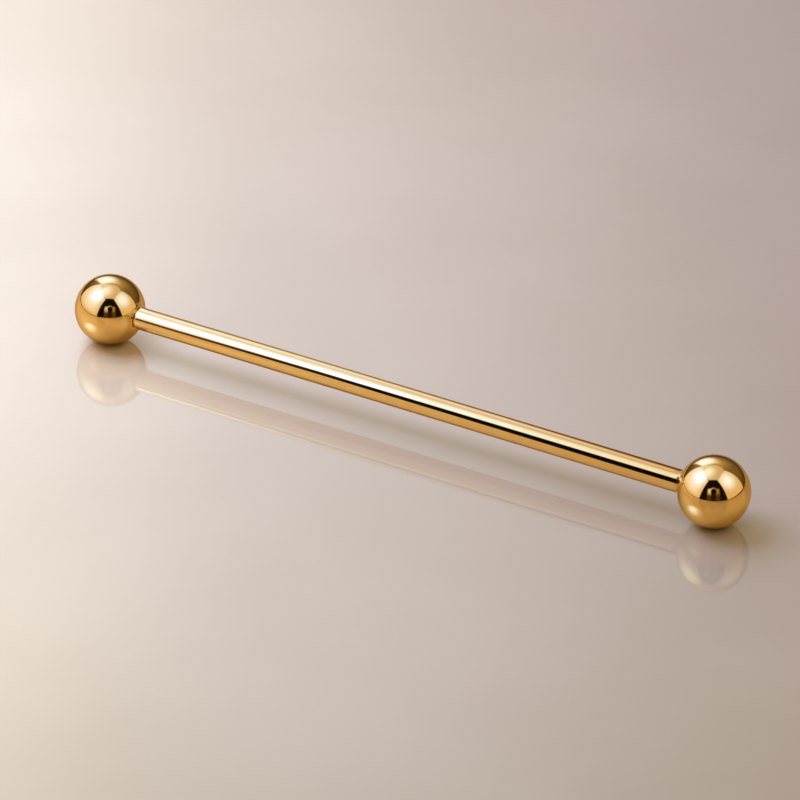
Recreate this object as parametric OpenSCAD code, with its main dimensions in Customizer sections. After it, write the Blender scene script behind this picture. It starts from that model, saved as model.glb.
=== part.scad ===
// A straight barbell that is worn through two piercings of the upper ear.
// A turned bar has a post on each end, and a ball goes onto each post until
// its flat seat meets the bar's shoulder. The barbell lies on its two balls,
// with the bar along X and the origin on the surface below the bar's middle.

/* [Bar] */
// Diameter of the bar, 14 gauge
bar_d = 1.6; // [1.4:0.1:2.4]
// Length of the bar from shoulder to shoulder, which is the barbell's trade size
bar_length = 44; // [28:1:60]
// How far the chamfer on each end runs along the bar
chamfer_length = 0.2; // [0.1:0.05:0.4]
// How far the chamfer goes in from the bar's surface
chamfer_depth = 0.1; // [0.05:0.01:0.12]

/* [Posts] */
// Width of the shoulder round each post
shoulder_w = 0.2; // [0.2:0.05:0.3]
// Length of each post from its shoulder
post_length = 3; // [2:0.25:3.5]
// Chamfer on the tip of each post
tip_chamfer = 0.15; // [0.05:0.05:0.25]

/* [Balls] */
// Diameter of each ball
ball_d = 5; // [4.5:0.5:8]
// Radial clearance of a post in its hole
post_clearance = 0.03; // [0.01:0.01:0.06]
// Depth of each hole beyond the tip of its post
hole_relief = 0.3; // [0.1:0.1:0.5]
// Chamfer on the mouth of each hole
mouth_chamfer = 0.03; // [0.01:0.01:0.04]
// Gap between a shoulder and the seat of its ball when the ball is home
seat_gap = 0.02; // [0.01:0.01:0.05]

/* [Hidden] */
$fn = 96;
gold = [0.86, 0.66, 0.30];

bar_r = bar_d / 2;
post_r = bar_r - shoulder_w;
half_bar = bar_length / 2;
post_end = half_bar + post_length;

ball_r = ball_d / 2;
hole_r = post_r + post_clearance;
hole_depth = post_length - seat_gap + hole_relief;
// The seat is a flat just as wide as the bar, so it cuts the ball this far from its centre
seat_to_centre = sqrt(ball_r * ball_r - bar_r * bar_r);
ball_x = half_bar + seat_gap + seat_to_centre;
// Cutting tools reach this far past the face that they cut
overcut = 1;

// Radius and place along the axis of each corner, from a post's tip to the bar's full diameter
function end_corners() = [
    [0, post_end],
    [post_r - tip_chamfer, post_end],
    [post_r, post_end - tip_chamfer],
    [post_r, half_bar],
    [bar_r - chamfer_depth, half_bar],
    [bar_r, half_bar - chamfer_length],
];

function mirrored(corners) = [
    for (i = [len(corners) - 1 : -1 : 0]) [corners[i][0], -corners[i][1]]
];

// The bar and its two posts are turned from one piece
module bar() {
    color(gold)
        translate([0, 0, ball_r])
            rotate([0, 90, 0])
                rotate_extrude()
                    polygon(concat(end_corners(), mirrored(end_corners())));
}

// Blind hole for a post, with its mouth on the plane z = 0 and its depth downwards
module post_hole() {
    translate([0, 0, -hole_depth])
        cylinder(h = hole_depth + overcut, r = hole_r);
    translate([0, 0, -mouth_chamfer])
        cylinder(h = mouth_chamfer, r1 = hole_r, r2 = hole_r + mouth_chamfer);
}

// A ball centred on the origin, with its seat facing up
module ball() {
    color(gold)
        difference() {
            sphere(r = ball_r);
            translate([0, 0, seat_to_centre])
                cylinder(h = ball_r, r = ball_r);
            translate([0, 0, seat_to_centre])
                post_hole();
        }
}

// A ball on the bar's end at the side given, -1 for the left and 1 for the right
module ball_on_end(side) {
    translate([side * ball_x, 0, ball_r])
        rotate([0, -side * 90, 0])
            ball();
}

module ball_left() {
    ball_on_end(-1);
}

module ball_right() {
    ball_on_end(1);
}

bar();
ball_left();
ball_right();
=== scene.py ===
# %% [markdown]
# # An industrial barbell, polished gold
# This barbell is worn through two piercings of the upper ear. It is a straight
# bar, turned from one rod, with a ball screwed onto each end. Here it lies on a
# pale polished floor, on its two balls. A mirror-polished metal has hardly any
# look of its own: what we see in it is the studio. So half of this lesson is
# about shapes, and the other half is about what stands round the barbell.
#
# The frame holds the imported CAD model, which says where every piece belongs.

# %% Load the frame
import math

import bpy
import numpy as np
from mathutils import Matrix, Vector


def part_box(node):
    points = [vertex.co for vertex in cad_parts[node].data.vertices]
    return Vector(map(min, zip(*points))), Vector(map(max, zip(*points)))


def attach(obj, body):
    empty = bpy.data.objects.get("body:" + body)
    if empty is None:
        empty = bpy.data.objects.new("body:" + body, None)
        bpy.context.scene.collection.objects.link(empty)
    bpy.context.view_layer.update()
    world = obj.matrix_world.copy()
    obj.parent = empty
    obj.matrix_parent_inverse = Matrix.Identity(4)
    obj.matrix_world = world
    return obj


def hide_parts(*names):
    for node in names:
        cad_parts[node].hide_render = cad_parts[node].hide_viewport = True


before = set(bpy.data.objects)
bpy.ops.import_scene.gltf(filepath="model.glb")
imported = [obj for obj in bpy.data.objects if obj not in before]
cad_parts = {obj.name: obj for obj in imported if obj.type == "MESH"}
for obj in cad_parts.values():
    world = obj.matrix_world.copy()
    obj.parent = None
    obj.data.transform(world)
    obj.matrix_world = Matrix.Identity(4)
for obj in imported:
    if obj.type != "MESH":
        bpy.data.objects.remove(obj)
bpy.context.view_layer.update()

# %% [markdown]
# ## Sizes
# The sizes repeat those of the part's source, in millimetres. The frame's boxes
# are measured against them, so a slip shows at once.

# %% Sizes in millimetres
MM = 0.001
BAR_R = 0.8
HALF_BAR = 22.0
CHAMFER_LENGTH = 0.2
CHAMFER_DEPTH = 0.1
POST_R = 0.6
POST_LENGTH = 3.0
TIP_CHAMFER = 0.15
BALL_R = 2.5
SEAT_GAP = 0.02
HOLE_R = 0.63
HOLE_DEPTH = 3.28
MOUTH_CHAMFER = 0.03
POST_END = HALF_BAR + POST_LENGTH
SEAT_TO_CENTRE = math.sqrt(BALL_R**2 - BAR_R**2)
BALL_X = HALF_BAR + SEAT_GAP + SEAT_TO_CENTRE

for node in ("bar", "ball_left", "ball_right"):
    low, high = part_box(node)
    print(node, "from", [round(v / MM, 3) for v in low], "to", [round(v / MM, 3) for v in high])
print("the source puts the post's end at", POST_END, "and the ball's far pole at", round(BALL_X + BALL_R, 3))

# %% [markdown]
# ## Turned surfaces
# Every piece of a barbell comes off a lathe, so each is a profile carried round
# the bar's axis. A profile is a row of (x, radius) points. Real edges are never
# perfectly sharp: polishing rounds them, and the thin highlight on the rounding
# is what tells the eye that two faces meet. A bevel modifier could do that, but
# rounding the profile's corners keeps the mesh even and costs nothing.

# %% Round the corners of a profile
ARC_STEPS = 6
REST_GAP = 0.004


def softened(corners, radii):
    """Replaces each inner corner of a polyline by an arc of its own radius, in ARC_STEPS steps.
    The arc touches both sides at radius times tan(half the turn) from the corner, and one more
    point on each side, REST_GAP further out, keeps the shading of the flat faces flat."""
    corners = np.asarray(corners, float)
    rows = [corners[:1]]
    for before, corner, after, radius in zip(corners, corners[1:], corners[2:], radii):
        into = (corner - before) / np.linalg.norm(corner - before)
        out = (after - corner) / np.linalg.norm(after - corner)
        turn = math.acos(np.clip(into @ out, -1.0, 1.0))
        reach = radius * math.tan(turn / 2)
        side = np.sign(into[0] * out[1] - into[1] * out[0])
        middle = corner - into * reach + side * radius * np.array([-into[1], into[0]])
        swing = side * turn * np.linspace(0, 1, ARC_STEPS + 1)[:, None]
        arm = corner - into * reach - middle
        across = np.array([-arm[1], arm[0]])
        arc = middle + np.cos(swing) * arm + np.sin(swing) * across
        rows += [arc[:1] - into * REST_GAP, arc, arc[-1:] + out * REST_GAP]
    rows.append(corners[-1:])
    return np.vstack(rows)


print("each corner becomes an arc of", ARC_STEPS, "steps")


# %% Carry a profile round the axis
def turned(name, profile, turns, wobble=None):
    """A closed surface of revolution. Point (x, r) at angle a goes to (x, r sin a, BALL_R + r cos a),
    in millimetres. The first and last points of the profile lie on the axis and become poles.
    wobble(x, r, a), if given, is taken off the radius."""
    angle = np.linspace(0, 2 * np.pi, turns, endpoint=False)
    rings = profile[1:-1]
    x = np.repeat(rings[:, :1], turns, 1)
    r = np.repeat(rings[:, 1:], turns, 1)
    a = np.repeat(angle[None], len(rings), 0)
    if wobble is not None:
        r = r - wobble(x, r, a)
    grid = np.stack([x, r * np.sin(a), BALL_R + r * np.cos(a)], -1).reshape(-1, 3)
    poles = np.array([[profile[0, 0], 0, BALL_R], [profile[-1, 0], 0, BALL_R]])
    points = np.vstack([grid, poles]) * MM
    row, column = np.meshgrid(np.arange(len(rings) - 1), np.arange(turns), indexing="ij")
    this, following = row * turns + column, row * turns + (column + 1) % turns
    quads = np.stack([this, this + turns, following + turns, following], -1).reshape(-1, 4)
    ring = np.arange(turns)
    first, last = len(grid), len(grid) + 1
    end = (len(rings) - 1) * turns
    cap = np.stack([np.full(turns, first), ring, (ring + 1) % turns], -1)
    cup = np.stack([np.full(turns, last), end + (ring + 1) % turns, end + ring], -1)
    triangles = np.vstack([quads[:, [0, 1, 2]], quads[:, [0, 2, 3]], cap, cup])
    corners = points[triangles] / MM
    volume = np.einsum("ij,ij->i", corners[:, 0], np.cross(corners[:, 1], corners[:, 2])).sum() / 6
    if volume < 0:
        quads, cap, cup = quads[:, ::-1], cap[:, ::-1], cup[:, ::-1]
    mesh = bpy.data.meshes.new(name)
    mesh.from_pydata(points.tolist(), [], quads.tolist() + cap.tolist() + cup.tolist())
    mesh.shade_smooth()
    piece = bpy.data.objects.new(name, mesh)
    bpy.context.scene.collection.objects.link(piece)
    print(name, "has", len(triangles), "triangles and holds", round(abs(volume), 2), "cubic mm")
    return piece


# %% [markdown]
# ## The bar and its posts
# The real bar is one turned rod: 1.6 mm thick, with a small chamfer where it
# meets each ball, and a thinner threaded post on each end, which the ball
# screws onto. The thread only shows once a ball is unscrewed. Its ridge is a
# groove taken off the post, wound round it: at each angle the groove moves on
# by that share of the pitch. The crests stay on the post's own radius.

# %% The bar
THREAD_PITCH = 0.25
THREAD_DEPTH = 0.09
THREAD_FROM = HALF_BAR + 0.3
THREAD_TO = POST_END - 0.12
FADE_IN, FADE_OUT = 0.3, 0.2
SAME_RADIUS = 0.01
THREAD_ROWS = 150
SHAFT_ROWS = 44
SHAFT_MARGIN = 0.5
BAR_TURNS = 160
END_CORNERS = np.array([
    [0.0, BAR_R],
    [HALF_BAR - CHAMFER_LENGTH, BAR_R],
    [HALF_BAR, BAR_R - CHAMFER_DEPTH],
    [HALF_BAR, POST_R],
    [POST_END - TIP_CHAMFER, POST_R],
    [POST_END, POST_R - TIP_CHAMFER],
    [POST_END, 0.0],
])
END_ROUNDING = [0.05, 0.03, 0.03, 0.05, 0.05]


def thread(x, r, a):
    """A rounded groove: half a cosine wave of (|x| / pitch - a / full turn), faded in over
    FADE_IN and out over FADE_OUT, and nothing where the surface isn't the post's side."""
    along = np.abs(x)
    inside = np.clip((along - THREAD_FROM) / FADE_IN, 0, 1) * np.clip((THREAD_TO - along) / FADE_OUT, 0, 1)
    wave = 0.5 - 0.5 * np.cos(2 * np.pi * (along / THREAD_PITCH - np.sign(x) * a / (2 * np.pi)))
    return THREAD_DEPTH * wave * inside * (np.abs(r - POST_R) < SAME_RADIUS)


def straight_rows(start, end, count, radius):
    """count points of a profile at one radius, evenly from start to end."""
    return np.stack([np.linspace(start, end, count), np.full(count, radius)], -1)


half = softened(END_CORNERS, END_ROUNDING)
shaft_rows = straight_rows(SHAFT_MARGIN, HALF_BAR - SHAFT_MARGIN, SHAFT_ROWS, BAR_R)
thread_rows = straight_rows(THREAD_FROM, THREAD_TO, THREAD_ROWS, POST_R)
split = int(np.argmax(half[:, 0] > THREAD_FROM))
half = np.vstack([half[:1], shaft_rows, half[1:split], thread_rows, half[split:]])
other_half = half[:0:-1] * [-1, 1]
bar = turned("turned_bar", np.vstack([other_half, half]), BAR_TURNS, thread)
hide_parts("bar")
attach(bar, "bar")

# %% [markdown]
# ## The balls
# Each ball is a 5 mm sphere with a small flat seat, just as wide as the bar,
# and a blind hole for the post. It is one profile again: round the sphere from
# its far pole to the seat, in across the seat, and down the hole to its floor.

# %% The balls
BALL_STEPS = 170
BALL_TURNS = 224
MOUTH_ROUNDING = [0.03, 0.006, 0.01, 0.05]


def ball_profile(side):
    """The (x, r) points of a ball on the side given, -1 for left and 1 for right."""
    reach = math.pi - math.asin(BAR_R / BALL_R)
    polar = np.linspace(0, reach, BALL_STEPS)
    sphere = np.stack([BALL_R * np.cos(polar), BALL_R * np.sin(polar)], -1)
    seat = -SEAT_TO_CENTRE
    hole = np.array([
        [seat, HOLE_R + MOUTH_CHAMFER],
        [seat + MOUTH_CHAMFER, HOLE_R],
        [seat + HOLE_DEPTH, HOLE_R],
        [seat + HOLE_DEPTH, 0.0],
    ])
    mouth = softened(np.vstack([sphere[-2:], hole]), MOUTH_ROUNDING)
    profile = np.vstack([sphere[:-2], mouth])
    profile[:, 0] = side * (BALL_X + profile[:, 0])
    return profile


balls = []
for side, node in ((-1, "ball_left"), (1, "ball_right")):
    ball = turned("polished_" + node, ball_profile(side), BALL_TURNS)
    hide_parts(node)
    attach(ball, node)
    balls.append(ball)

# %% [markdown]
# ## Nodes written as sums
# A shader's maths is easier to read as a formula than as a page of node calls.
# Value wraps one output socket, and + and * on it add the Math nodes. Tree adds
# any other node: its kind, then its settings, then what goes into its sockets.

# %% Values and trees
class Value:
    """One number or colour on its way through a node tree."""

    def __init__(self, socket):
        self.socket = socket

    def _math(self, operation, first, second):
        tree = Tree(self.socket.id_data)
        return tree.add("ShaderNodeMath", {"operation": operation}, {0: first, 1: second})

    def __add__(self, other):
        return self._math("ADD", self, other)

    __radd__ = __add__

    def __mul__(self, other):
        return self._math("MULTIPLY", self, other)

    __rmul__ = __mul__


class Tree:
    """Adds nodes to a node tree."""

    def __init__(self, nodes):
        self.tree = nodes

    def add(self, kind, settings=None, sockets=None, output=0):
        """Adds a node, sets it up, fills its sockets with numbers or Values, and gives one output."""
        node = self.tree.nodes.new(kind)
        for key, setting in (settings or {}).items():
            setattr(node, key, setting)
        for key, given in (sockets or {}).items():
            if isinstance(given, Value):
                self.tree.links.new(given.socket, node.inputs[key])
            else:
                node.inputs[key].default_value = given
        return Value(node.outputs[output]) if node.outputs else None

    def blend(self, factor, first, second):
        """The first colour where factor is 0, the second where it is 1."""
        return self.add("ShaderNodeMix", {"data_type": "RGBA"}, {0: factor, 6: first, 7: second}, 2)

    def stain(self, factor, colour, tone):
        """The colour where factor is 0, and the colour times the tone where it is 1."""
        settings = {"data_type": "RGBA", "blend_type": "MULTIPLY"}
        return self.add("ShaderNodeMix", settings, {0: factor, 6: colour, 7: tone}, 2)

    def measure(self, operation, vector, other):
        """A number from two vectors, such as their DOT_PRODUCT or their DISTANCE."""
        return self.add("ShaderNodeVectorMath", {"operation": operation}, {0: vector, 1: other}, "Value")

    def ease(self, value, low, high, start=0.0, end=1.0):
        """From start to end as value goes from low to high, with a soft beginning and end."""
        return self.add(
            "ShaderNodeMapRange",
            {"interpolation_type": "SMOOTHSTEP"},
            {"Value": value, "From Min": low, "From Max": high, "To Min": start, "To Max": end},
        )


def new_material(name):
    """A material without nodes yet, and the Tree that adds them."""
    material = bpy.data.materials.new(name)
    material.use_nodes = True
    material.node_tree.nodes.clear()
    return material, Tree(material.node_tree)


# %% [markdown]
# ## Polished gold
# The real finish is a thin gold layer on polished steel, buffed until it acts
# as a mirror. Gold tints what it reflects: it keeps red, loses some green and
# most of the blue. A perfect mirror looks like computer graphics, so three
# faint things break it: buffing leaves patches a little less sharp than others,
# the layer's colour drifts very slightly, and fine lines run round each piece.
#
# Two tints are given. Metals change colour at a grazing angle, so the rims
# have one of their own. And gold that is seen in gold turns orange, more than a
# photograph shows, so from its second reflection on it is paler.

# %% The gold
GOLD = (0.95, 0.56, 0.155, 1.0)
GOLD_DEEP = (0.93, 0.535, 0.142, 1.0)
GOLD_EDGE = (0.78, 0.70, 0.55, 1.0)
GOLD_AGAIN = (0.97, 0.76, 0.36, 1.0)
CLOUD_SCALE, CLOUD_SPREAD = 900.0, (0.35, 0.65)
BUFFING_SCALE, BUFFING_SPREAD = 2600.0, (0.3, 0.7)
LINE_SCALES = (9000.0, 500.0, 500.0)
LINE_SHARE = 0.6
SHARPEST, DULLEST = 0.045, 0.07
SCRATCH_DEPTH = 0.000002
SCRATCH_STRENGTH = 0.01

gold, tree = new_material("polished_gold")
place = tree.add("ShaderNodeTexCoord", output="Object")
clouds = tree.add("ShaderNodeTexNoise", {}, {"Vector": place, "Scale": CLOUD_SCALE, "Detail": 3.0})
buffing = tree.add("ShaderNodeTexNoise", {}, {"Vector": place, "Scale": BUFFING_SCALE, "Detail": 4.0})
stretch = tree.add("ShaderNodeMapping", {}, {"Vector": place, "Scale": LINE_SCALES})
lines = tree.add("ShaderNodeTexNoise", {}, {"Vector": stretch, "Scale": 1.0, "Detail": 2.0})
scratches = lines * LINE_SHARE + buffing * (1 - LINE_SHARE)
bump = tree.add(
    "ShaderNodeBump",
    {},
    {"Strength": SCRATCH_STRENGTH, "Distance": SCRATCH_DEPTH, "Height": scratches},
)
depth = tree.add("ShaderNodeLightPath", output="Glossy Depth")
again = tree.add("ShaderNodeMath", {"operation": "MINIMUM"}, {0: depth, 1: 1.0})
metal = tree.blend(tree.ease(clouds, *CLOUD_SPREAD), GOLD, GOLD_DEEP)
shader = tree.add(
    "ShaderNodeBsdfPrincipled",
    {},
    {
        "Base Color": tree.blend(again, metal, GOLD_AGAIN),
        "Metallic": 1.0,
        "Specular Tint": GOLD_EDGE,
        "Roughness": tree.ease(buffing, *BUFFING_SPREAD, SHARPEST, DULLEST),
        "Normal": bump,
    },
)
tree.add("ShaderNodeOutputMaterial", {}, {"Surface": shader})
for piece in (bar, *balls):
    piece.data.materials.append(gold)
print("the gold is on", 1 + len(balls), "pieces")

# %% [markdown]
# ## The camera
# A camera fitted to the outlines of both balls and of their mirror images in
# the floor stands 435 mm away, 29 degrees up and 32 degrees round from the
# front, and sees through a long lens.

# %% The camera
AZIMUTH, ELEVATION = math.radians(31.9476), math.radians(28.9917)
CAMERA_DISTANCE = 435.009
FOCAL_LENGTH = 285.27
SENSOR = 36.0
TARGET_RIGHT, TARGET_UP = -0.2927, -0.1326

back = Vector((
    math.sin(AZIMUTH) * math.cos(ELEVATION),
    -math.cos(AZIMUTH) * math.cos(ELEVATION),
    math.sin(ELEVATION),
))
right = Vector((math.cos(AZIMUTH), math.sin(AZIMUTH), 0.0))
up = back.cross(right)
target = Vector((0.0, 0.0, BALL_R)) + right * TARGET_RIGHT + up * TARGET_UP
lens = bpy.data.cameras.new("camera")
lens.lens = FOCAL_LENGTH
lens.sensor_width = SENSOR
lens.clip_start, lens.clip_end = 0.01, 20.0
camera = bpy.data.objects.new("camera", lens)
bpy.context.scene.collection.objects.link(camera)
turn = Matrix((right, up, back)).transposed().to_4x4()
camera.matrix_world = Matrix.Translation((target + back * CAMERA_DISTANCE) * MM) @ turn
bpy.context.scene.camera = camera
print("camera at", [round(v, 4) for v in camera.matrix_world.translation])

# %% [markdown]
# ## The floor
# A pale stone slab, ground flat and polished. Its colour is a warm grey with a
# painted pool of light: paler at one end and greyer at the other, as under light
# from one side, and a little darker nearer the camera, a painted shade. Its
# polish adds a faint mirror image of whatever stands on it. Polished stone
# reflects only a few parts in a hundred straight on, and more at a slant. The
# Fresnel node works that out, and DULLED keeps it from rising too far.
#
# Light hardly reaches the crevice under each ball, so painted shade darkens the
# stone there. A polished ball also mirrors the stone beside it. As the balls see
# it, the stone has painted shade at the left and painted light at the right, and
# a painted highlight in a small spot by each ball draws the bright crescent low
# on the ball. The camera sees none of that in the stone itself.

# %% The slab
FLOOR_HALF = 3.0

corners = np.array([[-1, -1, 0], [1, -1, 0], [1, 1, 0], [-1, 1, 0]]) * FLOOR_HALF
slab = bpy.data.meshes.new("floor")
slab.from_pydata(corners.tolist(), [], [[0, 1, 2, 3]])
floor = bpy.data.objects.new("floor", slab)
bpy.context.scene.collection.objects.link(floor)
print("the slab is", 2 * FLOOR_HALF, "metres wide")

# %% The stone's colour, with a painted pool of light and painted shade
STONE_PAINTED_PALEST = (0.905, 0.815, 0.75, 1.0)
STONE_PAINTED_LIT = (0.80, 0.70, 0.635, 1.0)
STONE = (0.515, 0.465, 0.53, 1.0)
WHITE = (1.0, 1.0, 1.0, 1.0)
VEIN = (0.94, 0.93, 0.92, 1.0)
VEIN_SCALE, VEIN_SPREAD = 45.0, (0.3, 0.7)
NEAR_SHADE = (0.90, 0.90, 0.90, 1.0)
ACROSS = (0.848, 0.530, 0.0)
NEARER = (0.530, -0.848, 0.0)
LIGHT_FALLOFF = -0.045, 0.045
PALEST_LIGHT_END = -0.032, -0.010
NEAR_FADE = 0.030, 0.062

stone, tree = new_material("polished_stone")
place = tree.add("ShaderNodeTexCoord", output="Object")
# Painted light: the stone is paler towards one end, as under a lamp from that side
across = tree.measure("DOT_PRODUCT", place, ACROSS)
ground = tree.blend(tree.ease(across, *LIGHT_FALLOFF), STONE_PAINTED_LIT, STONE)
ground = tree.blend(tree.ease(across, *PALEST_LIGHT_END), STONE_PAINTED_PALEST, ground)
drift = tree.add("ShaderNodeTexNoise", {}, {"Vector": place, "Scale": VEIN_SCALE, "Detail": 5.0})
ground = tree.stain(1.0, ground, tree.blend(tree.ease(drift, *VEIN_SPREAD), WHITE, VEIN))
# Painted shade: the stone is darker on the side nearer the camera
nearer = tree.measure("DOT_PRODUCT", place, NEARER)
ground = tree.stain(tree.ease(nearer, *NEAR_FADE), ground, NEAR_SHADE)
print("the stone greys over", round(LIGHT_FALLOFF[1] - LIGHT_FALLOFF[0], 3), "metres")

# %% What the balls see of the stone, and its polish
LEFT_END = -0.022, -0.018
RIGHT_START = 0.020, 0.024
MIRRORED_SHADE_LEFT = (0.83, 0.84, 0.88, 1.0)
MIRRORED_LIGHT_RIGHT = (1.20, 1.26, 1.15, 1.0)
CREVICE = 1.2
CREVICE_RAYS = 8
CREVICE_FADE = 0.0, 0.36
CREVICE_SHADE = (0.19, 0.13, 0.085, 1.0)
POLISH = (1.0, 0.86, 0.32, 1.0)
CRESCENT_HIGHLIGHT = (4.5, 5.1, 4.2, 1.0)
SPOT_X, SPOT_Y = -1.9, -4.8
SPOT_FADE = 0.0002, 0.0025
DULLED = 0.17
STONE_IOR = 1.5
STONE_ROUGHNESS = 0.05

mirrored = tree.add("ShaderNodeLightPath", output="Is Glossy Ray")
sideways = tree.add("ShaderNodeSeparateXYZ", {}, {0: place})
# Painted shade at the left and painted light at the right, seen only in reflections
ground = tree.stain(mirrored * tree.ease(sideways, *LEFT_END, 1.0, 0.0), ground, MIRRORED_SHADE_LEFT)
ground = tree.stain(mirrored * tree.ease(sideways, *RIGHT_START), ground, MIRRORED_LIGHT_RIGHT)
crevice = {"samples": CREVICE_RAYS}
# Painted shade: the stone's colour turns dark brown in the crevice under each ball
open_sky = tree.add("ShaderNodeAmbientOcclusion", crevice, {"Distance": CREVICE * MM}, "AO")
ground = tree.blend(tree.ease(open_sky, *CREVICE_FADE), CREVICE_SHADE, ground)
body = tree.add("ShaderNodeBsdfDiffuse", {}, {"Color": ground})
shine = POLISH
# A painted highlight by each ball, seen only in reflections, draws the crescent low on the ball
for ball_x in (-BALL_X, BALL_X):
    reach = tree.measure("DISTANCE", place, ((ball_x + SPOT_X) * MM, SPOT_Y * MM, 0.0))
    shine = tree.blend(mirrored * tree.ease(reach, *SPOT_FADE, 1.0, 0.0), shine, CRESCENT_HIGHLIGHT)
mirror = tree.add("ShaderNodeBsdfGlossy", {}, {"Color": shine, "Roughness": STONE_ROUGHNESS})
slant = tree.add("ShaderNodeFresnel", {}, {"IOR": STONE_IOR})
slant = tree.add("ShaderNodeMath", {"operation": "MINIMUM"}, {0: slant, 1: DULLED})
shader = tree.add("ShaderNodeMixShader", {}, {0: slant, 1: body, 2: mirror})
tree.add("ShaderNodeOutputMaterial", {}, {"Surface": shader})
slab.materials.append(stone)
print("the stone has", len(stone.node_tree.nodes), "nodes")

# %% [markdown]
# ## The light tent
# A ball shows nearly the whole room at once, so a photographer puts small shiny
# things in a tent: a bright panel on one side, a softer one on the other, and a
# dark gap between them for the camera. Here the tent is a half dome whose inside
# glows. Only mirror reflections see it; soft light comes from the lamps below.
#
# Each panel is cut out by planes through the tent's middle, because a straight
# edge seen from a point lies in one plane with it. A plane is given by two
# directions on the edge, each an azimuth (0 looks along -Y, 90 along +X) and an
# elevation in degrees.
#
# In the names below, a LIGHT is a round spot: its middle, then how many degrees
# away it starts to fade and is gone. A CLIMB is two elevations in degrees, and
# HEIGHTS are the sines of two elevations.

# %% Directions and planes
TENT_R = 0.40


def direction(azimuth, elevation):
    """The unit vector towards an azimuth and an elevation in degrees."""
    a, e = math.radians(azimuth), math.radians(elevation)
    return np.array([math.sin(a) * math.cos(e), -math.cos(a) * math.cos(e), math.sin(e)])


def cut(tree, towards, low, high, inside, soft=0.03):
    """1 on the side of a great circle that holds the direction inside, 0 on the other.
    The circle goes through the directions low and high, and soft is half its blur in radians."""
    across = np.cross(direction(*low), direction(*high))
    across /= np.linalg.norm(across)
    if across @ direction(*inside) < 0:
        across = -across
    return tree.ease(tree.measure("DOT_PRODUCT", towards, tuple(across)), -soft, soft)


def panel(tree, towards, inside, edges):
    """1 within the edges, which all have the direction inside on their inner side, and 0 outside.
    Each edge is two directions on it and, where it isn't crisp, half its blur in radians."""
    first, *others = [cut(tree, towards, low, high, inside, *soft) for low, high, *soft in edges]
    for other in others:
        first = first * other
    return first


def spot(tree, towards, middle, inner, outer):
    """1 within inner degrees of a direction, easing to 0 at outer degrees."""
    nearness = tree.measure("DOT_PRODUCT", towards, tuple(direction(*middle)))
    angle = tree.add("ShaderNodeMath", {"operation": "ARCCOSINE"}, {0: nearness})
    return tree.ease(angle, math.radians(inner), math.radians(outer), 1.0, 0.0)


def climb(tree, height, low, high, start=0.0, end=1.0):
    """From start to end as a direction climbs from low to high degrees above the floor.
    Its height is the sine of that angle."""
    return tree.ease(height, math.sin(math.radians(low)), math.sin(math.radians(high)), start, end)


print("the tent's radius is", TENT_R, "metres")

# %% The wall and the ceiling
WALL = (0.190, 0.161, 0.113, 1.0)
WALL_LOW = (0.100, 0.076, 0.041, 1.0)
WALL_LIT = (0.480, 0.436, 0.348, 1.0)
CEILING = (0.710, 0.698, 0.812, 1.0)
CEILING_BRIGHT = (1.15, 1.71, 4.06, 1.0)
CEILING_LOW = (0.880, 1.04, 1.74, 1.0)
WALL_HEIGHTS = 0.05, 0.45
WALL_LIGHT = (-148, 54), 10, 46
CEILING_CLIMB = 58, 66
CEILING_LIGHT = (-72, 70), 2, 36
CORNER_LIGHT = (-113, 59), 3, 15

tent_glow, tree = new_material("tent_glow")
place = tree.add("ShaderNodeTexCoord", output="Object")
towards = tree.add("ShaderNodeVectorMath", {"operation": "NORMALIZE"}, {0: place})
height = tree.add("ShaderNodeSeparateXYZ", {}, {0: towards}, 2)
glow = tree.blend(tree.ease(height, *WALL_HEIGHTS), WALL_LOW, WALL)
glow = tree.blend(spot(tree, towards, *WALL_LIGHT), glow, WALL_LIT)
ceiling = tree.blend(spot(tree, towards, *CEILING_LIGHT), CEILING, CEILING_BRIGHT)
glow = tree.blend(climb(tree, height, *CEILING_CLIMB), glow, ceiling)
glow = tree.blend(spot(tree, towards, *CORNER_LIGHT), glow, CEILING_LOW)
print("the wall turns into the ceiling between", CEILING_CLIMB, "degrees up")

# %% The window behind
WINDOW = (1.25, 1.85, 5.57, 1.0)
WINDOW_RIM = (0.960, 1.12, 1.80, 1.0)
WINDOW_LIGHT = (-133, 35), 6, 26
WINDOW_INSIDE = (-140, 38)
WINDOW_EDGES = [
    ((-163, 10), (-168, 57), 0.26),
    ((-134, 2), (-159, 34), 0.16),
    ((-125, 12), (-112, 50), 0.04),
    ((-165, 10), (-118, 10), 0.10),
    ((-165, 54), (-115, 54), 0.08),
]

window = panel(tree, towards, WINDOW_INSIDE, WINDOW_EDGES)
bright_window = tree.blend(spot(tree, towards, *WINDOW_LIGHT), WINDOW_RIM, WINDOW)
glow = tree.blend(window, glow, bright_window)
print("the window has", len(WINDOW_EDGES), "edges")

# %% The key panel on the left
KEY_RIM = (1.00, 1.14, 1.80, 1.0)
KEY_MID = (1.15, 1.91, 6.03, 1.0)
KEY_HOT = (10.5, 18.5, 90.0, 1.0)
KEY_LOW = (0.800, 0.752, 0.789, 1.0)
KEY_SOFT = (2.9, 4.1, 13.0, 1.0)
KEY_HEIGHTS = 0.0, 0.25
KEY_LIGHT = (-57, 52), 2, 46
CORE_LIGHT = (-50, 51), 2, 18
BROAD_LIGHT = (-54, 46), 2, 40
KEY_INSIDE = (-55, 40)
KEY_EDGES = [
    ((-98, 3), (-112, 50)),
    ((-12, 3), (3.5, 61)),
    ((-107, 54), (-5, 60)),
]
SHADE_EDGE = (-24, 3), (-8, 61), (0, 30), 0.14
SHADE = 0.6
ONE_OR_TWO = 1.5

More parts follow.
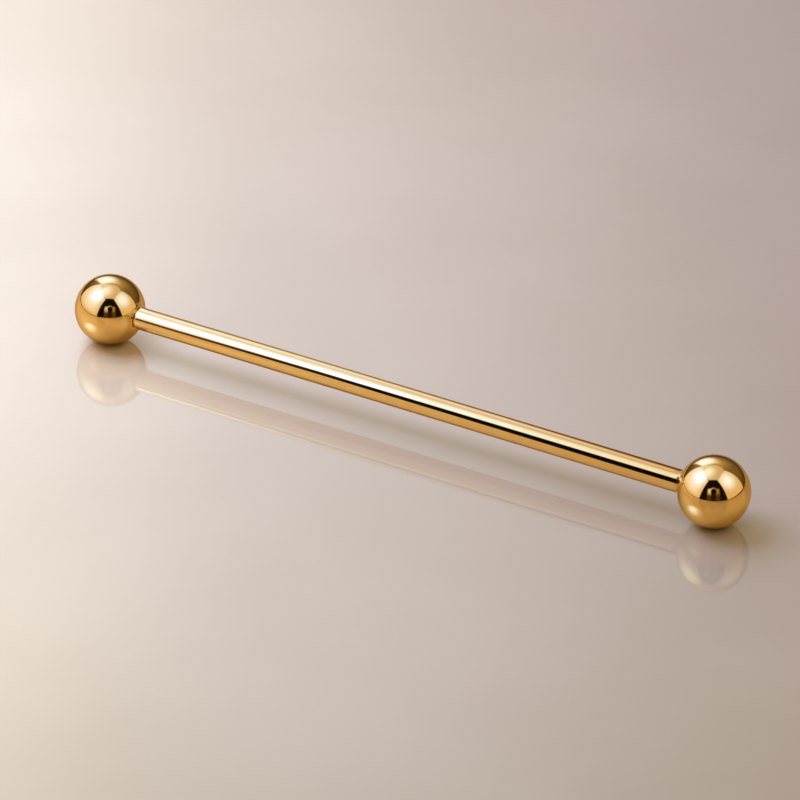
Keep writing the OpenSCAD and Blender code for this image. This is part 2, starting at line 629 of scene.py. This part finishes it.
# The panel has a hot core. Seen by way of two mirrors, it has a broad, softer one instead
key = panel(tree, towards, KEY_INSIDE, KEY_EDGES)
key_rim = tree.blend(tree.ease(height, *KEY_HEIGHTS), KEY_LOW, KEY_RIM)
key_mid = tree.blend(spot(tree, towards, *KEY_LIGHT), key_rim, KEY_MID)
core = spot(tree, towards, *CORE_LIGHT)
hot_key = tree.blend(core * core, key_mid, KEY_HOT)
broad_key = tree.blend(spot(tree, towards, *BROAD_LIGHT), key_mid, KEY_SOFT)
bounces = tree.add("ShaderNodeLightPath", output="Ray Depth")
two_mirrors = tree.add("ShaderNodeMath", {"operation": "GREATER_THAN"}, {0: bounces, 1: ONE_OR_TWO})
lit_key = tree.blend(two_mirrors, hot_key, broad_key)
shaded = cut(tree, towards, *SHADE_EDGE) * SHADE
glow = tree.blend(key, glow, tree.blend(shaded, lit_key, KEY_LOW))
print("the key panel has", len(KEY_EDGES), "edges")

# %% The dark gap for the camera, with the warm sheen of its stand
BLACK = (0.010, 0.006, 0.004, 1.0)
GLINT = (0.850, 0.940, 1.20, 1.0)
GLINT_DIM = (0.400, 0.290, 0.130, 1.0)
STAND = (0.085, 0.055, 0.020, 1.0)
HOLLOW = (0.025, 0.014, 0.006, 1.0)
GAP_EDGES = [
    ((-12, 3), (3.5, 61)),
    ((72, 3), (54, 61)),
    ((0, 61), (60, 61)),
]
GAP_INSIDE = (30, 30)
LEGS = [
    (12, 51, HOLLOW, HOLLOW),
    (11, 23, STAND, GLINT),
    (38, 50, STAND, GLINT_DIM),
]
LEG_BLUR = 0.05
LEG_CLIMB = 33, 39
SHEEN_CLIMB = 14, 30
ARCH_LIGHT = (31, 29), 10, 14
ARCH_CLIMB = 27, 32
ARCH_MIDDLE = (31, 0), (31, 60), (50, 30), 0.12
ARCH_SHEEN = 0.6
STAND_HEAD = (31, 29), 7, 10

glow = tree.blend(panel(tree, towards, GAP_INSIDE, GAP_EDGES), glow, BLACK)
below_head = climb(tree, height, *LEG_CLIMB, 1.0, 0.0)
for start, end, foot, sheen in LEGS:
    leg = (
        cut(tree, towards, (start, 0), (start, 60), (end, 30), LEG_BLUR)
        * cut(tree, towards, (end, 0), (end, 60), (start, 30), LEG_BLUR)
        * below_head
    )
    glow = tree.blend(leg, glow, tree.blend(climb(tree, height, *SHEEN_CLIMB), foot, sheen))
arch = ARCH_SHEEN * spot(tree, towards, *ARCH_LIGHT) * climb(tree, height, *ARCH_CLIMB)
right_of_middle = cut(tree, towards, *ARCH_MIDDLE)
glow = tree.blend(arch, glow, tree.blend(right_of_middle, GLINT, GLINT_DIM))
glow = tree.blend(spot(tree, towards, *STAND_HEAD), glow, BLACK)
print("the stand has", len(LEGS) - 1, "legs and a hollow between them")

# %% The softer panel on the right
FILL_RIM = (0.810, 0.752, 0.719, 1.0)
FILL_HOT = (1.12, 1.72, 4.64, 1.0)
FILL_LIGHT = (97, 47), 0, 38
FILL_INSIDE = (100, 30)
FILL_EDGES = [
    ((72, 3), (54, 61)),
    ((132, 3), (145, 61)),
    ((57, 61), (143, 61)),
]

fill = panel(tree, towards, FILL_INSIDE, FILL_EDGES)
bright_fill = tree.blend(spot(tree, towards, *FILL_LIGHT), FILL_RIM, FILL_HOT)
glow = tree.blend(fill, glow, bright_fill)
print("the softer panel has", len(FILL_EDGES), "edges")

# %% The dark seam where the cloth meets the floor, deeper at the back
SEAM = (0.05, 0.03, 0.012, 1.0)
SEAM_HEIGHTS = 0.018, 0.055
SEAM_DEEPENS = -0.3, 0.5
SEAM_CORE = 0.4

backwards = tree.add("ShaderNodeSeparateXYZ", {}, {0: towards}, 1)
seam_top = tree.ease(backwards, *SEAM_DEEPENS, *SEAM_HEIGHTS)
glow = tree.blend(tree.ease(height, seam_top * SEAM_CORE, seam_top, 1.0, 0.0), glow, SEAM)

# The inner side of the cloth glows, and its outer side is clear
outside = tree.add("ShaderNodeNewGeometry", output="Backfacing")
shining = tree.add("ShaderNodeEmission", {}, {"Color": glow, "Strength": 1.0})
clear = tree.add("ShaderNodeBsdfTransparent")
seen = tree.add("ShaderNodeMixShader", {}, {0: outside, 1: shining, 2: clear})
tree.add("ShaderNodeOutputMaterial", {}, {"Surface": seen})
print("the tent's glow has", len(tent_glow.node_tree.nodes), "nodes")

# %% [markdown]
# ## The tent's shape
# A half sphere of cloth standing on the floor is enough: the floor closes it
# below. It needs few faces, because its light is worked out from the direction
# alone and not from the faces.

# %% The tent
TENT_ROWS, TENT_COLUMNS = 24, 96


def dome(radius, rows, columns):
    """A half sphere standing on the floor. The point at elevation e and azimuth a is
    radius (sin a cos e, -cos a cos e, sin e)."""
    e = np.linspace(0, np.pi / 2, rows)[:-1, None]
    a = np.linspace(0, 2 * np.pi, columns, endpoint=False)[None]
    grid = np.stack([np.sin(a) * np.cos(e), -np.cos(a) * np.cos(e), np.sin(e) + 0 * a], -1)
    points = np.vstack([grid.reshape(-1, 3), [[0, 0, 1]]]) * radius
    row, column = np.meshgrid(np.arange(rows - 2), np.arange(columns), indexing="ij")
    this, following = row * columns + column, row * columns + (column + 1) % columns
    quads = np.stack([this, this + columns, following + columns, following], -1).reshape(-1, 4)
    ring = (rows - 2) * columns + np.arange(columns)
    top = np.stack([ring, np.full(columns, len(points) - 1), np.roll(ring, -1)], -1)
    return points, quads.tolist() + top.tolist()


def only_in_reflections(thing):
    """The thing shows in mirror reflections and nowhere else."""
    thing.visible_camera = thing.visible_diffuse = thing.visible_shadow = False
    thing.visible_transmission = thing.visible_volume_scatter = False


points, faces = dome(TENT_R, TENT_ROWS, TENT_COLUMNS)
cloth = bpy.data.meshes.new("light_tent")
cloth.from_pydata(points.tolist(), [], faces)
cloth.materials.append(tent_glow)
tent = bpy.data.objects.new("light_tent", cloth)
bpy.context.scene.collection.objects.link(tent)
only_in_reflections(tent)
print("the tent has", len(faces), "faces")

# %% [markdown]
# ## The card round the bar
# Product photographers hold a thin card close to a shiny rod: its black edge
# draws one crisp dark line along the rod, and that line makes the metal look
# round. Here the card is bent into a sleeve round the bar, and it glows with a
# painted reflection of light and shade. A black strip widens towards the right,
# a cream strip above it paints a duller highlight over the glare at the right
# end, and brown edges paint shade along the bar's outline. Below, a sole paints
# the floor's reflection and a darker foot paints shade on the bar's underside.
# Every coat is painted with soft edges, straight onto the points of the mesh.
# Only reflections from close by see the sleeve: those of the bar and of the
# rims of the balls beside it. The rest of the balls and the floor never do.

# %% The card's shape
CARD_R = 1.3
CARD_END = 22.2
CARD_COLUMNS, CARD_ROWS = 178, 160
CARD_FROM, CARD_TO = -85, 152


def sleeve(columns, rows):
    """A part of a tube of radius CARD_R round the bar. The point at x and at angle a above the
    front is (x, -CARD_R cos a, BALL_R + CARD_R sin a). Gives points in metres, faces, x and a."""
    x = np.linspace(-CARD_END, CARD_END, columns)[None] + np.zeros((rows, 1))
    a = np.linspace(CARD_FROM, CARD_TO, rows)[:, None] + np.zeros((1, columns))
    turn = np.radians(a)
    grid = np.stack([x, -CARD_R * np.cos(turn), BALL_R + CARD_R * np.sin(turn)], -1)
    row, column = np.meshgrid(np.arange(rows - 1), np.arange(columns - 1), indexing="ij")
    this = row * columns + column
    faces = np.stack([this, this + 1, this + 1 + columns, this + columns], -1).reshape(-1, 4)
    return grid.reshape(-1, 3) * MM, faces, x, a


points, faces, card_x, card_angle = sleeve(CARD_COLUMNS, CARD_ROWS)
paper = bpy.data.meshes.new("near_card")
paper.from_pydata(points.tolist(), [], faces.tolist())
print("the card has", len(faces), "faces")

# %% The card's coats
# Edges in degrees round the bar, at four marks along it in millimetres
MARKS = [-19, -7, 7, 19]
STRIP_LOW = [13.4, 17.2, 14.0, 10.8]
STRIP_HIGH = [26.6, 38.4, 41.8, 41.7]
BRIGHT_FROM = [89, 97, 95, 90.5]
EDGE_TOP = [117, 124, 119.5, 110]
EDGE_LOW = [-53, -50, -56, -58]
# Glow of each painted coat, at the first and the last mark
CREAM = (1.05, 2.16, 7.6), (1.00, 1.37, 2.76)
AMBER = (0.96, 1.23, 2.6), (0.68, 0.67, 0.80)
BRIGHT = (1.12, 1.63, 3.7), (0.95, 0.97, 1.42)
BROWN = (0.35, 0.31, 0.30), (0.12, 0.08, 0.03)
SOLE = (0.76, 0.70, 0.64), (0.54, 0.45, 0.40)
FOOT = (0.30, 0.22, 0.14), (0.31, 0.24, 0.18)
STRIP_GLOW = np.array([0.05, 0.03, 0.01])
# Edges that are the same all along, each with half its blur
RIGHT_HALF = -7, 9
AMBER_RIGHT = 73, 11.5
AMBER_TOP = 85, 5
GLOW_LEFT = 10, 12
SOLE_BELOW = -35, 5
FOOT_FADE = -75, 7
FOOT_DARKEST = 0.35
INNER_END = 21.1, 0.2
OUTER_END = 21.85, 0.1
STRIP_BLUR, BRIGHT_BLUR, TOP_BLUR, LOW_BLUR, END_BLUR = 2.5, 6, 17, 16, 0.05
LEAST_COVER = 1e-6


def risen(value, edge, soft):
    """0 below edge - soft, 1 above edge + soft, and 3 s^2 - 2 s^3 between."""
    s = np.clip((value - edge) / (2 * soft) + 0.5, 0, 1)
    return s * s * (3 - 2 * s)


def card_coats(x, a):
    """The coats from the lowest to the topmost, each as how far it covers a point and its colour.
    An edge follows straight lines between the marks, and so does a colour from end to end."""
    share = ((x - MARKS[0]) / (MARKS[-1] - MARKS[0]))[..., None]

    def mark(values):
        return np.interp(x, MARKS, values)

    def paint(ends):
        left, right = np.array(ends)
        return left + share * (right - left)

    inner = 1 - risen(np.abs(x), *INNER_END)
    outer = 1 - risen(np.abs(x), *OUTER_END)
    above_strip = risen(a, mark(STRIP_HIGH), STRIP_BLUR)
    cream = risen(x, *RIGHT_HALF) * above_strip
    amber = np.maximum(cream * risen(a, *AMBER_RIGHT), risen(a, *AMBER_TOP) * inner)
    strip = risen(a, mark(STRIP_LOW), STRIP_BLUR) * (1 - above_strip)
    foot_light = FOOT_DARKEST + (1 - FOOT_DARKEST) * risen(a, *FOOT_FADE)
    # Cream, amber and bright are painted highlights, brown and the foot are painted shade, the strip a
    # painted dark line
    return [
        (cream, paint(CREAM)),
        (amber, paint(AMBER)),
        (risen(a, mark(BRIGHT_FROM), BRIGHT_BLUR) * inner, paint(BRIGHT)),
        (risen(a, mark(EDGE_TOP), TOP_BLUR) * outer, paint(BROWN)),
        (strip, risen(-x, *GLOW_LEFT)[..., None] * STRIP_GLOW),
        ((1 - risen(a, *SOLE_BELOW)) * inner, paint(SOLE)),
        ((1 - risen(a, mark(EDGE_LOW), LOW_BLUR)) * inner, paint(FOOT) * foot_light[..., None]),
    ]


def painted_card(x, a):
    """How far each point is covered, and its glow. Each coat (cover c, colour p) turns the
    glow g into g (1 - c) + p c. The paint fades out at both ends of the card."""
    glow, cover = np.zeros(x.shape + (3,)), np.zeros_like(x)
    for coat, colour in card_coats(x, a):
        glow = glow * (1 - coat[..., None]) + colour * coat[..., None]
        cover = cover * (1 - coat) + coat
    glow = glow / np.maximum(cover, LEAST_COVER)[..., None]
    left_end = risen(x, -CARD_END + END_BLUR, END_BLUR)
    right_end = 1 - risen(x, CARD_END - END_BLUR, END_BLUR)
    return cover * (left_end * right_end), np.dstack([glow, np.ones_like(x)])


cover, tint = painted_card(card_x, card_angle)
paper.attributes.new("cover", "FLOAT", "POINT").data.foreach_set("value", cover.ravel())
paper.attributes.new("tint", "FLOAT_COLOR", "POINT").data.foreach_set("color", tint.ravel())
print("paint covers", round(100 * float(cover.mean())), "percent of the card")

# %% The card
CARD_REACH = 1.05

card_painted_reflection, tree = new_material("card_painted_reflection")
length = tree.add("ShaderNodeLightPath", output="Ray Length")
near = tree.add("ShaderNodeMath", {"operation": "LESS_THAN"}, {0: length, 1: CARD_REACH * MM})
within = tree.add("ShaderNodeNewGeometry", output="Backfacing")
covered = near * within * tree.add("ShaderNodeAttribute", {"attribute_name": "cover"}, output="Fac")
painted = tree.add("ShaderNodeAttribute", {"attribute_name": "tint"}, output="Color")
# The card glows with its painted reflection, highlights and shade alike
painted_glow = tree.add("ShaderNodeEmission", {}, {"Color": painted, "Strength": 1.0})
clear = tree.add("ShaderNodeBsdfTransparent")
shader = tree.add("ShaderNodeMixShader", {}, {0: covered, 1: clear, 2: painted_glow})
tree.add("ShaderNodeOutputMaterial", {}, {"Surface": shader})
paper.materials.append(card_painted_reflection)
card = bpy.data.objects.new("near_card", paper)
bpy.context.scene.collection.objects.link(card)
only_in_reflections(card)
print("the bar sees the card from", CARD_REACH, "mm away or less")

# %% [markdown]
# ## The lamps
# Two soft lamps light the floor and draw the soft shadows beside the balls.
# They stay out of mirror reflections, where the tent stands for them. An even
# sky fills the shadows. Where the camera looks past the floor, it is paler.

# %% The lamps
LAMP_COLOUR = (0.74, 0.83, 1.08)


def lamp(name, azimuth, elevation, distance, width, power):
    """A square lamp in the given direction and at the given distance in metres, facing the origin."""
    light = bpy.data.lights.new(name, "AREA")
    light.shape = "RECTANGLE"
    light.size = light.size_y = width
    light.energy = power
    light.color = LAMP_COLOUR
    made = bpy.data.objects.new(name, light)
    bpy.context.scene.collection.objects.link(made)
    away = Vector(direction(azimuth, elevation))
    facing = away.to_track_quat("Z", "Y").to_matrix().to_4x4()
    made.matrix_world = Matrix.Translation(away * distance) @ facing
    made.visible_glossy = False
    made.visible_camera = False
    print(name, "at", [round(v, 3) for v in made.matrix_world.translation])


lamp("key_lamp", azimuth=-86, elevation=54, distance=0.14, width=0.10, power=0.108)
lamp("window_lamp", azimuth=-135, elevation=40, distance=0.22, width=0.09, power=0.085)

# %% The light all round
SKY = (0.55, 0.43, 0.22, 1.0)
SKY_SEEN = (0.60, 0.53, 0.47, 1.0)

world = bpy.data.worlds.new("studio")
world.use_nodes = True
world.node_tree.nodes.clear()
bpy.context.scene.world = world
tree = Tree(world.node_tree)
soft = tree.add("ShaderNodeBackground", {}, {"Color": SKY, "Strength": 1.0})
pale = tree.add("ShaderNodeBackground", {}, {"Color": SKY_SEEN, "Strength": 1.0})
looking = tree.add("ShaderNodeLightPath", output="Is Camera Ray")
sky = tree.add("ShaderNodeMixShader", {}, {0: looking, 1: soft, 2: pale})
tree.add("ShaderNodeOutputWorld", {}, {"Surface": sky})

scene = bpy.context.scene
scene.view_settings.view_transform = "Standard"
scene.view_settings.look = "None"
print("colours are shown by the view transform", scene.view_settings.view_transform)
